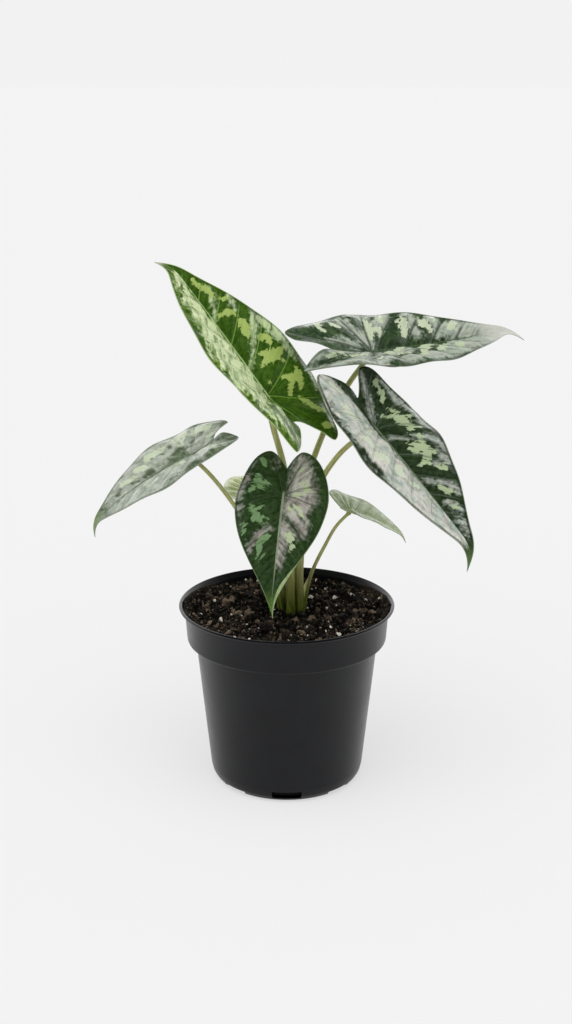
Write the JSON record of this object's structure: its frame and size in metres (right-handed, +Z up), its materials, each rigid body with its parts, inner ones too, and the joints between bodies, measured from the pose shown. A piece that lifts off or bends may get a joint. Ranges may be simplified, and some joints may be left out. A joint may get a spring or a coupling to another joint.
{
  "type": "potted alocasia",
  "caption": "House plant with arrow-shaped patterned leaves on slim stalks, growing in soil in a tapered plastic nursery pot.",
  "frame": {"origin": "centre of the pot's flat underside", "axes": "+Z up along the pot's axis, -Y the front, +X the plant's right as seen from the front"},
  "size_m": [0.2418, 0.1474, 0.2846],
  "materials": {
    "pot": "black polypropylene, semi-matt, with a paler worn lip",
    "soil": "dark crumbly peat and bark mix with pale perlite grains",
    "rootstock": "brown corm",
    "stalk": "smooth olive green leaf stalk",
    "young_blade": "satin bright green leaf with light green blotches and a silvery sheen",
    "blade": "satin deep green leaf with light green blotches and a silvery sheen",
    "small_blade": "satin greyish green small leaf"
  },
  "bodies": {
    "root": {"pot": "pot", "soil": "soil", "rootstock": "rootstock", "petiole_a": "stalk", "petiole_b": "stalk", "petiole_c": "stalk", "petiole_d": "stalk", "petiole_e": "stalk", "petiole_f": "stalk", "petiole_g": "stalk", "blade_a": "young_blade", "blade_b": "blade", "blade_c": "blade", "blade_d": "blade", "blade_e": "blade", "blade_f": "small_blade", "blade_g": "small_blade"}
  },
  "joints": []
}
